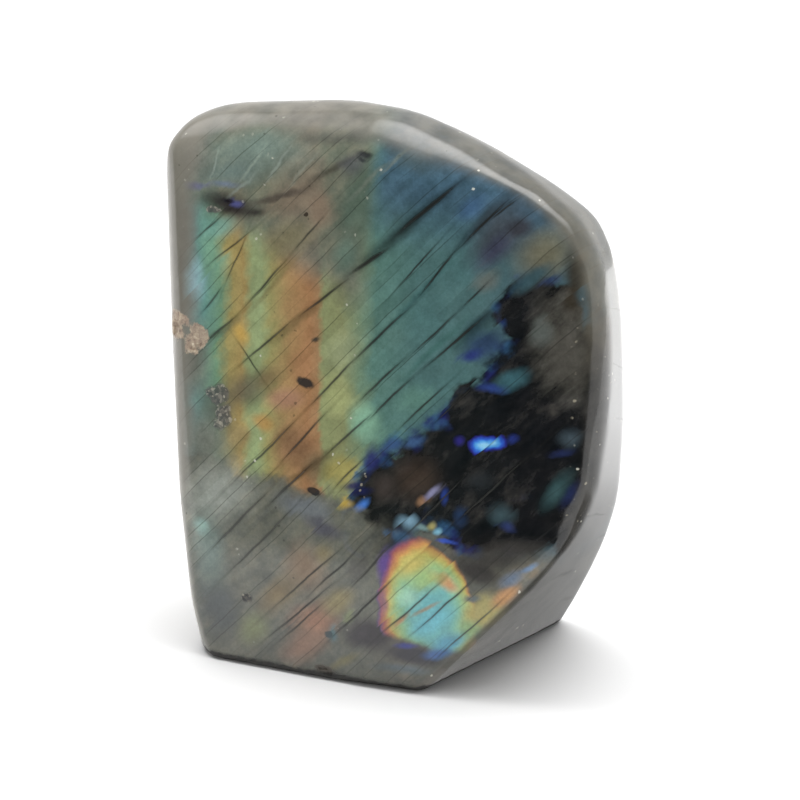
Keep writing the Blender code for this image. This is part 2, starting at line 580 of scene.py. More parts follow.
# %% Coordinates that follow the front face
FACE_HEADING, FACE_RISE = GROUND_FACES["front"][:2]
CLEAVAGE_TURN = 45  # how steeply the cleavage runs up to the right, degrees
CLEAVAGE_LEAN = 12  # how far the cleavage leans out of the face, degrees
SLAB, SLIP = 5.5, 1.8  # thickness of a slab and how far it may have slid, mm
FACE_SHIFT = -0.89  # from the middle of the base to the middle of the face, mm
FACE_DEPTH = -24.6  # where the front face lies in depth, mm
STILL = (0, 0, 0)
slope = math.radians(CLEAVAGE_TURN)
along_cleavage = Vector((math.cos(slope), 0, math.sin(slope)))
place = node("TexCoord")
level_mm = turned(place.outputs["Object"], (0, 0, -FACE_HEADING), (1 / MM,) * 3)
face_mm = turned(level_mm, (FACE_RISE, 0, 0), place=(FACE_SHIFT, 0, 0))
barely = turned(wander(face_mm, 9, 0.5, 3), STILL)
cleavage = turned(barely, (CLEAVAGE_LEAN, CLEAVAGE_TURN, 0))
over = parts_of(cleavage)[2]


def slab_value(thickness):
    """A random value from 0 to 1 for each slab of the cleavage."""
    slabs = maths("DIVIDE", over, thickness)
    cells = node("TexVoronoi", {"W": slabs, "Scale": 1}, voronoi_dimensions="1D")
    return node("SeparateColor", {0: cells.outputs["Color"]}).outputs[0]


def slid(coordinates, thickness, reach):
    """Coordinates in which every slab has moved along its plane by its own amount."""
    amount = times(maths("SUBTRACT", slab_value(thickness), 0.5), reach)
    push = node("VectorMath", {0: along_cleavage, "Scale": amount}, operation="SCALE").outputs[0]
    return node("VectorMath", {0: coordinates, 1: push}, operation="ADD").outputs[0]


fibres = turned(cleavage, STILL, (0.1, 0.1, 0.8))  # stretched along the cleavage
across, depth, up = parts_of(slid(wander(wander(face_mm, 14, 1.4), 2.6, 0.5, 3), SLAB, SLIP))
drifting = turned(node("CombineXYZ", {0: across, 1: depth, 2: up}).outputs[0], STILL)
note("coordinates")


# %% Lenses of colour
def ball(coordinates, centre, half, turn):
    """1 in the middle of an egg-shaped place in the stone and 0 from its rim on."""
    placed = node(
        "Mapping",
        {"Vector": coordinates, "Location": centre, "Rotation": (0, math.radians(turn), 0), "Scale": half},
        vector_type="TEXTURE",
    )
    return node("TexGradient", {"Vector": placed.outputs[0]}, gradient_type="SPHERICAL").outputs["Fac"]


def lens(coordinates, centre, half, turn=0, deep=16):
    """A lens of light behind the front face. Centre and half size are across and up, in mm."""
    return ball(coordinates, (centre[0], FACE_DEPTH, centre[1]), (half[0], deep, half[1]), -turn)


def cover(under, coordinates, centre, half, turn, shade, strength=0.85, soft=0.9):
    """Lays one lens over a colour, at its full strength from a share of the way in that soft gives."""
    light = lens(coordinates, centre, half, turn)
    return blend(under, tint(shade), step_between(light, 0, soft, high=strength))


def lay(under, patches, coordinates=drifting):
    """Lays named soft-edged lenses over a colour, one after another."""
    for centre_across, centre_up, width, height, *look in patches.values():
        under = cover(under, coordinates, (centre_across, centre_up), (width, height), *look)
    return under


# %% [markdown]
# ## The grey body
# Without its flash the feldspar is plain grey-green, a little cloudy, with silky streaks along the
# cleavage. Two noises make the streaks: one stretched along it and one even. They return in every colour
# laid over this one, which ties the colours together.

# %% The grey body of the feldspar
mottle = clouds(face_mm, 9, 4, 0.6)
grain = clouds(face_mm, 0.55, 3, 0.7)
silk = times(clouds(fibres, 1.3, 1, 0.4), 0.4)
streaks = maths("ADD", silk, times(clouds(barely, 2.4, 5, 0.6), 0.6))
colour = ramp(mottle, (0.3, "4e504c"), (0.5, "5e5f58"), (0.7, "726e62"))
note("grey body")

# %% [markdown]
# ## The flash
# Layers a few hundred atoms thick throw back one colour each: thin layers blue, thicker ones green, then
# gold and copper. The thickness changes slowly across the stone, so the colours come in bands, always
# in the same order. One ramp over "across" holds the bands of the front, and masks say where they show.

# %% Bands of colour over the front
FIRST_BAND, LAST_BAND = -42, 34  # mm across, at the left and right ends of the ramp
BAND_LEAN, LEAN_FROM = 0.04, 62  # mm to the side per mm up, and the height it is counted from
band = swing(streaks, 4.0, across)
band = maths("MULTIPLY_ADD", maths("SUBTRACT", up, LEAN_FROM), BAND_LEAN, band)
bands = ramp(
    spread(band, FIRST_BAND, LAST_BAND, 0, 1),
    (0.03, "7a9aa0"), (0.08, "68968e"), (0.13, "709476"), (0.165, "9e925c"),
    (0.20, "a6905a"), (0.225, "92a072"), (0.25, "94a476"), (0.28, "989460"),
    (0.33, "a4865a"), (0.385, "a27852"), (0.41, "9c7a56"), (0.425, "8a9266"),
    (0.48, "868c62"), (0.53, "6e886e"), (0.57, "567c72"), (0.68, "4a6f6e"),
    (0.80, "466a6b"), (0.95, "3c5862"),
)
wisps = maths("SUBTRACT", clouds(drifting, 5, 4, 0.6), 0.5)
flash_floor = maths("MULTIPLY_ADD", wisps, 9.0, maths("MULTIPLY_ADD", across, 0.16, up))
shows_up = step_between(flash_floor, 27.5, 33.5)
flash_here = times(shows_up, step_between(across, -40, -36))
colour = blend(colour, bands, times(flash_here, 0.9))
note("bands")

# %% [markdown]
# ## Veils and patches
# The bands alone would look printed. A dull veil hides them in the upper left, and the upper right is
# bluer. Then soft lenses, each with a name, a place and a colour, are laid over them: patches where the
# layers differ, dark inclusions, a painted shade along the top edge where it rolls over, the shade beside
# the great cracks and thin pale veins.

# %% The veil over the upper left and the blue of the upper right
veil_line = maths("MULTIPLY_ADD", across, 0.5, up)
veil = times(step_between(veil_line, 64, 72), step_between(across, 1, -5))
veil_colour = ramp(streaks, (0.34, "626960"), (0.5, "6c6e63"), (0.66, "767567"))
colour = blend(colour, veil_colour, times(veil, 0.88))
bluer = times(step_between(up, 78, 92), step_between(across, -4, 3))
blue = ramp(streaks, (0.36, "364c5c"), (0.6, "445e72"))
colour = blend(colour, blue, times(bluer, 0.85))
note("veil")

# %% Patches, cracks' shade and veins
# across, up, half width, half height, turn, colour; then strength and softness, where not the usual ones
colour = lay(colour, {
    "sage left": (-26, 97, 17, 7, 6, "70827a", 0.85, 0.8),
    "sage streak": (-30, 92, 10, 4, 10, "687c78", 0.8),
    "grey corner": (-39, 97, 7, 9, 20, "7e7c74", 0.8),
    "brown veil": (-17, 88, 9, 5, 28, "7a6c5c", 0.75, 0.8),
    "rose veil": (-11.5, 86, 4.5, 4.5, 10, "887664", 0.8, 0.8),
    "olive veil": (-18, 80, 9, 4.5, 30, "7c765a", 0.75),
    "green veil": (-4, 88, 5.5, 11, -8, "4e6054", 0.85, 0.8),
    "teal veil": (-5.5, 78, 4, 6, -10, "5c766a", 0.7),
    # painted shade: a darker grey band where the top edge starts to roll over
    "painted shade on the top rim": (-8, 100, 18, 2.2, -4, "4e504c", 0.7),
    "slate rim": (6, 97.5, 10, 3.4, -18, "465456", 0.75),
    "teal edge": (-37, 71, 2.8, 6.5, -8, "8cacb4", 0.85, 0.8),
    "upper teal": (-32.5, 81.5, 6.5, 3.2, 30, "729e92", 0.8, 0.7),
    "green left": (-33, 76, 4, 6, 20, "76a088", 0.7, 0.8),
    "inclusion band": (-30, 86.2, 11, 3, -3, "2e2a2c", 0.92, 0.8),
    "inclusion tail": (-20, 88.4, 8, 1.3, 14, "4a443e", 0.8, 0.8),
    "inclusion vein": (-9, 94, 9, 1.2, 30, "424038", 0.8),
    "inclusion end": (-3.8, 96.4, 2.6, 1, -10, "282a2c", 0.9, 0.7),
    "inclusion smoke": (-6, 94.6, 4.5, 3.2, 10, "54585c", 0.7),
    "violet bead": (-28.6, 87, 2.6, 1.1, 0, "585c94", 0.9),
    "violet bead 2": (-37, 89.4, 3.4, 1.4, -5, "606284"),
    "violet bead 3": (-31.5, 89.8, 5, 1, 4, "667490", 0.6),
    "dull left": (-36.5, 55, 5.5, 11, 4, "6e6c62", 0.9, 0.8),
    "dull left low": (-34, 40, 10, 10, 0, "72746b", 0.92, 0.8),
    "gold bright": (-27, 62, 2.2, 3.6, 40, "b4924a", 0.7, 0.8),
    "gold low": (-21.5, 45.5, 3.6, 2.6, -20, "b08a52", 0.85, 0.8),
    "gold left": (-26.5, 42, 3.4, 3.4, 30, "96865e", 0.8, 0.8),
    "rose middle": (-17, 50.5, 5.5, 3.4, 10, "a67e68", 0.8, 0.8),
    "copper upper": (-14, 57, 3.6, 5, 8, "9e7654", 0.7),
    "copper low": (-14.5, 41.5, 5.6, 7.5, 22, "7a5e46", 0.85, 0.8),
    "grey pocket": (-25, 51.5, 7.5, 4.6, 20, "625c4c", 0.85, 0.8),
    "brown pocket": (-20.5, 54.5, 4.5, 3.2, 30, "6e5c44", 0.75),
    "dull right": (-9.5, 38, 5, 4.4, 30, "625e48", 0.75),
    "lime": (-5.5, 52, 5, 7, 18, "9ca270", 0.7, 0.8),
    "pale lime": (-5, 61, 8, 5.5, 36, "929c7a", 0.6),
    "mint": (-0.5, 47.5, 4.5, 5.5, 30, "86b298", 0.8, 0.8),
    "mint low": (8.5, 52.5, 5, 4, 40, "60887a", 0.7),
    "straw": (-5.5, 37.5, 5, 4.6, 36, "9e9456", 0.8, 0.8),
})
colour = lay(colour, {
    "shade under the main crack": (5, 83.5, 19, 2, 41.5, "222c2a", 0.75, 1),
    "shade lower down it": (-15, 65.5, 13, 1.3, 42, "60543a", 0.6, 1),
    "shade of the second": (20, 86, 10, 1.5, 47, "242e34", 0.7, 1),
    "shade of the third": (9, 72, 14, 1.1, 48, "325454", 0.6, 1),
    "shade of the fourth": (12, 62, 14, 1.1, 45, "365c56", 0.6, 1),
    "shade at the cloud": (21, 68, 9, 1.8, 48, "22343a", 0.8, 1),
    "shade of the fifth": (-21, 71, 11, 1, 49, "6c6242", 0.5, 1),
    "shade left": (-31, 62, 8, 1.2, 42, "545242", 0.6, 1),
    "shade low": (-12, 37, 13, 1.2, 41, "4e3e2c", 0.6, 1),
    "pale vein": (-26, 94, 7, 0.5, 52, "92a094", 0.7, 1),
    "pale vein 2": (-20, 95, 6, 0.5, 56, "8e9a90", 0.7, 1),
    "pale vein 3": (-15, 94, 8, 0.6, 50, "888c7e", 0.6, 1),
    "pale vein 4": (-33.5, 94, 5, 0.4, 78, "929e96", 0.7, 1),
    "pale vein 5": (-28, 90, 6, 0.5, 42, "8e9c94", 0.6, 1),
    "pale vein 6": (-2, 92, 9, 0.7, 44, "747c70", 0.6, 1),
    "pale vein 7": (3, 96, 6, 0.6, 48, "6e766c", 0.6, 1),
    "pale vein 8": (25, 83, 9, 0.5, 46, "686c68", 0.6, 1),
})
note("patches")

# %% [markdown]
# ## The dark cloud
# Where the layers lie at another angle no light comes back, and one looks into smoky, nearly black
# feldspar. Some overlapping lenses give its outline, noise tears the border, and a rim of deep blue
# shows where the layers thin out just before they go dark. Paler smoke, blue lobes and a few patches of
# bright blue lie inside it.

# %% The dark cloud
CLOUD = (  # across, up, half width, half height, turn
    (22, 41.5, 22, 11.5, 28), (32, 58, 13.5, 9.5, 54), (6, 34, 9.5, 8, 30), (33.5, 69, 8, 7, 50),
    (29, 31, 13, 6, 14), (2, 25.5, 4.8, 3.4, 0), (21, 51.5, 7, 5.5, 30), (29.5, 71, 7, 5.5, 50),
    (43, 45, 10, 27, 4),
)
CLOUD_DEEP = 45  # mm
SWELL = 1.5  # each lens is made so much wider, to reach below 0 outside the outline
cloud = strongest(
    lens(drifting, (centre_across, centre_up), (width * SWELL, height * SWELL), turn, CLOUD_DEEP)
    for centre_across, centre_up, width, height, turn in CLOUD
)
cloud = maths("MULTIPLY_ADD", cloud, SWELL, 1 - SWELL)
ragged = maths("SUBTRACT", clouds(drifting, 4.5, 4, 0.6), 0.5)
torn = maths("SUBTRACT", clouds(fibres, 1.4, 3, 0.6), 0.5)
cloud = maths("MULTIPLY_ADD", ragged, 0.45, maths("MULTIPLY_ADD", torn, 0.32, cloud))
dark = step_between(cloud, -0.06, 0.12)
glow = times(step_between(cloud, -0.2, -0.02), step_between(cloud, 0.3, 0.06))
glow = times(glow, step_between(clouds(face_mm, 6, 2), 0.42, 0.62))
glow = times(glow, step_between(across, 33, 24))
smoke = clouds(turned(cleavage, STILL, (0.45, 0.45, 1)), 3.4, 5, 0.65)
dark_colour = ramp(
    smoke, (0.34, "0c0c0e"), (0.5, "181718"), (0.6, "2a2827"), (0.7, "3e3b37")
)
grey_smoke = ramp(smoke, (0.34, "1e1c1a"), (0.46, "3e3c36"), (0.66, "585650"))
thinner = step_between(lens(drifting, (38, 66), (10, 15), 10, CLOUD_DEEP), 0, 0.6)
dark_colour = blend(dark_colour, grey_smoke, thinner)
colour = blend(colour, dark_colour, times(dark, 0.97))
glow_colour = ramp(clouds(face_mm, 4, 2), (0.4, "262c68"), (0.6, "325a7e"))
colour = blend(colour, glow_colour, times(glow, 0.8))
note("dark cloud")

# %% Smoke and lobes in the cloud
colour = lay(colour, {
    "brown smoke": (10.5, 38.5, 7.5, 6.5, 25, "423830"),
    "brown smoke 2": (4, 36, 4, 4.5, 20, "403a36"),
    "olive upper": (32, 81.5, 8.5, 7, 30, "6a6754", 0.92),
    "olive dark edge": (37.5, 77, 3, 8.5, 8, "342e24", 0.9, 0.8),
    "slate dusk": (24, 85, 6.5, 11, -38, "42484e", 0.9),
    "violet dusk": (23.5, 82, 3, 7, -38, "3a3c50", 0.8),
    "violet dusk 2": (28, 86.5, 3.4, 2.6, 10, "323238", 0.85, 0.8),
    "rose dusk": (22, 76, 4, 2.6, 40, "686c66", 0.75),
    "dusk blue": (18.5, 89, 5, 2.6, 40, "426082", 0.7),
    "grey right": (37.5, 64, 5, 9, 10, "4e4c46", 0.8, 0.8),
    "grey lens": (32.5, 67.5, 3.4, 3.2, 30, "585e5a", 0.85, 0.8),
    "blue lobe": (21.3, 63.6, 5.6, 3.8, 42, "2c3e5c", 0.9, 0.8),
    "blue lobe deep": (19, 61.2, 3.4, 1.8, 30, "28326e", 0.9),
    "teal lobe": (27.6, 58.8, 5.6, 2.2, 26, "3c626a", 0.85, 0.8),
    "blue lobe low": (24, 56.8, 4.2, 1.3, 8, "2e4280"),
    "teal right": (30, 77, 6, 2.2, 38, "38545c", 0.85, 0.8),
    "teal right blue": (33, 76.4, 3, 1.4, 30, "2e3e60", 0.8),
    "far teal": (36.6, 38, 2.6, 6.6, -30, "3e5a5c", 0.85, 1),
    "far blue": (39, 37.5, 1.6, 4.5, -28, "28325c", 0.7, 1),
    "far upper": (39, 48.7, 3.4, 2.6, 24, "46545c", 0.8, 1),
    "far upper blue": (37.6, 45.8, 3.4, 1.2, 18, "2a345c", 0.7, 1),
    "lower teal": (27, 32.5, 3.2, 3.4, 20, "40545a", 0.85, 1),
    "lower blue": (28, 30, 2.4, 1.4, -20, "2e3a68", 0.8, 1),
    "dim blue": (19.4, 31.4, 2.6, 2.4, 0, "223654"),
    "dim grey": (22, 38, 4, 3, 20, "2c3032", 0.7),
    "rim blue": (4.5, 43.2, 3.4, 1.8, 22, "385078"),
    "rim blue 2": (9.5, 45.4, 3.6, 1.4, 22, "405c84", 0.8),
    "rim indigo": (0.2, 40, 2, 4.5, -12, "303668"),
    "rim violet": (-3.2, 34.6, 3, 1.2, 12, "2c2c54", 0.9),
    "under smoke": (27, 24.6, 13, 3.6, 14, "42403d", 0.9, 0.8),
    "under smoke 2": (20, 22.6, 5.5, 3, -20, "484844", 0.85, 0.8),
    "black soot": (3, 27.5, 2.6, 3.4, -24, "181819", 0.95, 0.7),
})
note("smoke and lobes")

# %% [markdown]
# ## The electric spots
# Here and there in the dark one small place has its layers just right and shines far brighter than all
# round it. The largest is a lens whose own depth drives a ramp, from indigo at the rim to pale blue in
# the middle; the others are plain lenses.

# %% The electric spots
spark = lens(wander(drifting, 1.6, 0.5), (23.6, 46.0), (3.7, 2.4), 8)
spark_colour = ramp(
    spark, (0.0, "1e1c42"), (0.2, "2a2e80"), (0.4, "305cc4"), (0.58, "529ede"),
    (0.85, "8cc8e6"),
)
colour = blend(colour, spark_colour, step_between(spark, 0.0, 0.22))
colour = lay(colour, {
    "spark tail": (28, 46.8, 2, 1.4, 10, "283882", 0.8),
    "spark head": (18.6, 46.6, 1.6, 1.6, 20, "2c2876", 0.8),
    "pale streak": (13.9, 36, 3.6, 1.1, 50, "8888a8"),
    "rust streak": (11.8, 34, 1.8, 1.3, 40, "967458", 0.8),
    "blue streak": (15.6, 34.8, 1.2, 2.4, -10, "304896"),
    "sheen left": (8.6, 29, 2.6, 2.4, 0, "7ca0b4", 0.95),
    "sheen middle": (11, 28.2, 2.2, 1, -10, "789696"),
    "sheen gold": (12.9, 28.8, 1.6, 1.2, 35, "9c9660"),
    "sheen cyan": (14.2, 27.8, 1.5, 1.1, 30, "7cb2c6"),
    "blue thread": (16.8, 26.7, 3, 0.6, 4, "3c5cc4", 0.9),
    "left gold": (-3.6, 31.9, 2.6, 1.5, 22, "bea24a", 0.9),
    "left blue": (-0.2, 32.2, 2.6, 1.3, 46, "467cce", 0.9),
    "left night": (-0.5, 34.8, 3.2, 1.2, 10, "1e2246", 0.9, 0.8),
    "soot": (1, 26, 3.6, 4.4, -36, "222021", 0.9),
})
note("electric spots")

# %% [markdown]
# ## The foot
# Towards the base the layers lie a little askew and the flash is dull: slate, olive and rose, in streaks
# that follow the cleavage. Only the right corner flashes again, in all its colours at once.

# %% The muted foot
foot = times(step_between(shows_up, 0.9, 0.1), step_between(across, 8, 1))
foot_colour = ramp(streaks, (0.34, "5c5f59"), (0.5, "686a60"), (0.66, "727164"))
colour = blend(colour, foot_colour, times(foot, 0.85))
colour = lay(colour, {
    "haze": (-31, 30, 13, 9, 24, "9ca29a"),
    "teal": (-32, 18, 5.5, 13, 6, "748680"),
    "aqua": (-33.6, 23.2, 2.4, 3.4, 40, "88a49c", 0.85, 0.8),
    "slate": (-30, 7, 8, 7, -30, "4c5254", 0.85, 0.8),
    "blue": (-12, 29, 8, 3.6, -10, "70767a", 0.85, 0.8),
    "dusk": (-8, 26, 6.5, 2.4, -4, "52525c", 0.85, 0.8),
    "rose": (-11, 18, 6.5, 7, 40, "7e6a56", 0.9),
    "olive": (-7, 21.4, 3, 2.6, 40, "807454", 0.7),
    "tan": (-16, 12, 8, 4.2, 42, "7c6c4e", 0.9),
    "salmon": (-9.5, 7, 7.5, 6, 44, "96705a", 0.98),
    "salmon low": (-12, 2, 7, 4, 30, "8a6c5a", 0.9),
    "gold": (-5, 12, 6, 3.6, 40, "8c8058"),
    "green": (-21.5, 4.8, 6, 4.2, 40, "767c5a", 0.9),
    "sea": (-5.6, 5.8, 1.7, 2.3, 30, "4c747c"),
    "shade": (-0.5, 19.5, 2.6, 5, -36, "545450", 0.85, 0.8),
    "lime": (-2.4, 9.6, 2.2, 1.6, 30, "828a64", 0.8),
    "plum": (2.6, 6.6, 8, 5, 6, "302c32", 0.95, 0.7),
    "plum right": (11, 3.4, 8, 2.6, 2, "2e2e38", 0.92, 0.7),
    "plum rim": (9, 0.6, 8, 1.4, 4, "54646c", 0.75),
    "sill gold": (-3, 0.4, 5, 1.6, 24, "7c7652", 0.75),
})
note("foot")

# %% [markdown]
# ## The rainbow corner
# In the lower right corner the layers thicken outwards from one middle, so the colours run round it in
# rings: cyan inside, then green, gold, red and violet. One lens gives the distance from that middle and a
# ramp turns it into colour.

# %% The rainbow corner
BOW = 1.1  # the distance at the rim of the lens
corner = wander(drifting, 3.0, 0.8, 3)
bow = lens(corner, (14.0, 12.2), (11.4, 17.4), 10, deep=24)
bow = maths("SUBTRACT", BOW, times(bow, BOW))
bow_floor = step_between(maths("MULTIPLY_ADD", across, 0.12, up), 6.6, 8.2)
bow_cut = maths("MULTIPLY_ADD", step_between(across, 6, 14), 0.15, bow)  # no red and violet on the right
bow_mask = times(step_between(bow_cut, 1.02, 0.93), bow_floor)
bow_colour = ramp(
    bow, (0.10, "68b2b8"), (0.34, "74bab8"), (0.50, "88c2a4"), (0.62, "9abe88"),
    (0.74, "b8b468"), (0.82, "c49258"), (0.90, "a6625c"), (0.96, "6c4c74"),
    (1.0, "423a68"),
)
colour = blend(colour, bow_colour, times(bow_mask, 0.95))
colour = lay(colour, {
    "smoke": (23, 21.2, 6, 2.6, -14, "3e3c3a", 0.92, 0.7),
    "gold": (24, 13.4, 6.5, 4.6, 38, "a89e60", 0.9, 0.7),
    "orange": (28, 17, 4.6, 2.2, 46, "b88652", 0.9, 0.8),
    "pink": (16, 18.6, 4.8, 2.2, -30, "d4966a", 0.9, 0.8),
    "lime": (21.5, 9.6, 3.8, 3.2, 38, "86aa7a", 0.85, 0.8),
    "slate": (21.8, 15.9, 2.6, 1, 12, "5c686c", 0.9, 0.8),
    "yellow": (10.4, 21.4, 4.6, 3, 30, "cebe70", 0.9),
    "green": (13, 19, 5.6, 4, 20, "a0bc7a"),
    "white": (9.8, 15.2, 3.2, 3.6, 10, "a0ceb4", 0.75),
    "cyan": (14, 10.2, 6, 2.6, 38, "70c0ce", 0.9, 0.8),
    "blue": (17.5, 6.6, 5.4, 2.8, 32, "589cb8", 0.9, 0.8),
    "deep blue": (15.5, 4.4, 4.4, 1.4, 14, "3e64a0", 0.9),
    "edge blue": (9.4, 5, 3, 0.9, 10, "364096", 0.9),
    "rust streak": (13, 12.6, 4.4, 0.6, 34, "968060", 0.8),
    "brown streak": (8.4, 10, 3.2, 0.8, 44, "b07e5a"),
    "violet": (4.6, 20.6, 1.9, 4.4, -14, "604a8a", 0.9),
    "plum": (5, 14.2, 1.3, 4.4, 6, "805c6e", 0.8),
    "sky": (29, 20.6, 3.8, 1.7, 36, "68788e"),
    "sky gold": (33, 21.6, 2, 1.1, 36, "786a54", 0.7),
    "sky blue": (32.2, 22.8, 2.6, 0.8, 30, "6080a4", 0.8),
})
note("rainbow corner")

# %% [markdown]
# ## Cleavage cracks
# Every few millimetres the stone has come apart along one of its planes. The long cracks are laid one by
# one as lenses a fraction of a millimetre thick, and each lens is read twice: its middle is the crack, the
# rest is the shadow beside it. The fine ones come from a Voronoi texture in one dimension, whose cell
# borders are planes at uneven distances.

# %% Long cracks, one by one
LONG_CRACKS = (  # across and up of one end, the same of the other, half width: mm
    (-29, 53.5, -14, 67, 0.3), (-16, 65, -4, 75, 0.34), (-6, 74, 4, 81.5, 0.6),
    (2, 81, 18, 95.5, 0.62), (-37, 57, -26, 66.5, 0.32), (-27, 66, -16.5, 78, 0.28),
    (-17, 77.5, -10, 86, 0.22), (-36, 64, -30.5, 71, 0.24), (-31, 69.5, -26, 81.5, 0.2),
    (-39, 77.5, -30, 85, 0.24), (-36, 72.5, -23.5, 83, 0.22), (-28, 60.5, -21.5, 53, 0.2),
    (-13.5, 47.5, -1, 61.5, 0.3), (-5.5, 56.5, 9, 71.5, 0.34), (8, 70.5, 17, 83, 0.3),
    (16, 81, 26, 92, 0.34), (-3, 50, 8, 61.5, 0.3), (7, 60, 18, 71, 0.26), (17, 70, 22.5, 76, 0.22),
    (-1, 47, 10, 58, 0.3), (9, 57, 24, 71.5, 0.3), (5, 45.5, 17, 58, 0.24), (12, 47.5, 22, 58, 0.24),
    (3, 71, 14, 84, 0.2), (21, 86, 27, 91.5, 0.24), (14, 62, 21, 69, 0.18), (-30, 30, -12, 49, 0.26),
    (-19, 36, -7, 50, 0.3), (-21, 28, -9.5, 39.5, 0.34), (-9.5, 39, 2, 50.5, 0.3),
    (-7, 33, 1, 42, 0.24), (-34, 16, -18, 34, 0.3), (-22, 0, -3, 18, 0.26), (-20, 7, -2, 25, 0.24),
    (-30, 12, -12, 32, 0.24), (-8, 2, 10, 22, 0.26), (-12, 11, 2, 26, 0.24), (2, 4, 18, 21, 0.24),
    (9, 6, 26, 24, 0.24), (14, 2, 30, 19, 0.2), (-18, 1, -6, 13, 0.22), (6, 24, 22, 42, 0.3),
    (16, 28, 34, 47, 0.3), (-3, 14, 8, 27, 0.26),
)
SHADOW = 1.9  # how much wider than the crack its lens is, to hold the shadow too


def crack(start_across, start_up, end_across, end_up, half_width):
    """The lens of one long crack."""
    run, climb = end_across - start_across, end_up - start_up
    middle = ((start_across + end_across) / 2, (start_up + end_up) / 2)
    half = (math.hypot(run, climb) / 2 * SHADOW, half_width * SHADOW)
    return lens(barely, middle, half, math.degrees(math.atan2(climb, run)), deep=20)


shadows = strongest(crack(*ends) for ends in LONG_CRACKS)
cracked = step_between(shadows, 0.5, 0.85)
note("long cracks")

# %% Fine cracks, slabs and grain
SHEET = 2.3  # mm from one fine crack to the next
border = node(
    "TexVoronoi", {"W": maths("DIVIDE", over, SHEET), "Scale": 1}, voronoi_dimensions="1D",
    feature="DISTANCE_TO_EDGE",
).outputs["Distance"]
runs = step_between(clouds(turned(cleavage, STILL, (0.03, 0.05, 0.5)), 1, 2), 0.46, 0.60)
fine = times(step_between(border, 0.07, 0.015), runs)
lights = (
    spread(slab_value(SHEET), 0, 1, 0.92, 1.08),
    spread(streaks, 0.35, 0.65, 0.93, 1.07),
    spread(clouds(barely, 4, 5, 0.65), 0.3, 0.7, 0.84, 1.16),
    spread(grain, 0.3, 0.7, 0.9, 1.1),
    maths("MULTIPLY_ADD", shadows, -0.35, 1.0),
    # the face darker towards the base
    step_between(up, 0, 26, low=0.8),
)
light = lights[0]
for other in lights[1:]:
    light = times(light, other)
colour = lit(colour, light)
cracked = maths("MAXIMUM", cracked, times(fine, 0.5))
colour = blend(colour, tint("1e1f1b"), times(cracked, 0.85))
note("fine cracks")

# %% [markdown]
# ## Where the skin turns away
# The flash is only seen square on to its layers, so it dies out on every rounded edge and on the sides,
# and the plain grey feldspar is left, deep grey-green at the back. The normal of the skin says where that
# is: the nearer it comes to a way of looking, the more of the colour for that side is laid on.

# %% Turned edges
def facing(look, start, end):
    """Compares the skin's normal with a way of looking: 0 at start, 1 from end on."""
    towards = node("VectorMath", {0: place.outputs["Normal"], 1: look}, operation="DOT_PRODUCT")
    return step_between(towards.outputs["Value"], start, end)


FACE_LOOK, BACK_LOOK = look_of(FACE_HEADING, FACE_RISE), (0, 1, 0)
skin = clouds(cleavage, 5, 4)
edge_colour = ramp(skin, (0.35, "76746e"), (0.65, "949088"))
dark_edge = ramp(skin, (0.35, "20201e"), (0.65, "383632"))
light_edge = ramp(skin, (0.35, "625e54"), (0.65, "7a7466"))
# the edge colour is lighter on the left than on the right, paler again high on the right, and brighter on
# the lower edges than on the top
dark_edge = blend(dark_edge, light_edge, step_between(up, 56, 76))
edge_colour = blend(edge_colour, dark_edge, step_between(across, -6, 36))
edge_light = step_between(up, 26, 70, 1.25, 0.82)
edge_colour = lit(edge_colour, edge_light)
turned_away = facing(FACE_LOOK, 0.93, 0.66)
colour = blend(colour, edge_colour, times(turned_away, 0.8))
# painted reflection: a paler grey strip down the left rounded edge, where the polish mirrors the pale room
painted_left_reflection = times(step_between(across, -35.5, -39), step_between(up, 20, 34))
colour = blend(colour, tint("848076"), times(painted_left_reflection, 0.6))

# %% The back
back_colour = ramp(streaks, (0.34, "2c302e"), (0.5, "424642"), (0.66, "60625a"))
colour = blend(colour, back_colour, times(facing(BACK_LOOK, 0.2, 0.75), 0.8))
note("edges and back")

# %% [markdown]
# ## Inclusions
# Small grains of black ilmenite sit in the feldspar, and near the left edge a nest of them reaches the
# skin. Tiny pale and sooty flecks lie all over. A Voronoi texture gives the crumbs of the nest and places
# the flecks: each of its cells has a random value, and only the cells with a low one get a dot.

# %% Spots and a nest of grains
BLACK_SPOTS = {
    "shade of the nest": (-31.2, 47.4, 6, 5.6, -20, "565450", 0.75),
    "ilmenite": (-13, 53.6, 2.3, 1.15, -14, "262a2c", 0.92, 0.4),
    "small ilmenite": (-11.2, 62, 1.3, 0.7, 20, "2c3230", 0.85, 0.8),
    "grain high up": (-14.2, 85.3, 0.6, 0.5, 0, "342e28", 0.9, 0.3),
    "grain low down": (-10.3, 33, 1.7, 0.9, -12, "28282a", 0.9, 0.3),
    "grain in the sea": (-6, 5.6, 1, 0.9, 0, "2c3c42", 0.85, 0.4),
    "grain in the band": (-30.5, 86.6, 2, 0.7, -6, "1e1c22", 0.9, 0.7),
    "grain in the band 2": (-24.8, 84.8, 3.4, 1.1, 4, "2c2828", 0.8, 1),
    "grain under the rim": (-3.6, 96.2, 1.6, 0.6, -20, "282c30", 0.8, 0.8),
}
rough_edged = turned(wander(face_mm, 0.9, 0.35, 3), STILL)
colour = lay(colour, BLACK_SPOTS, rough_edged)
crumbs = node("TexVoronoi", {"Vector": rough_edged, "Scale": 1.9})
crumb = node("SeparateColor", {0: crumbs.outputs["Color"]}).outputs[0]
crumb_colour = ramp(
    crumb, (0.0, "2e2e32"), (0.4, "424142"), (0.7, "605c56"), (0.95, "9e988a")
)
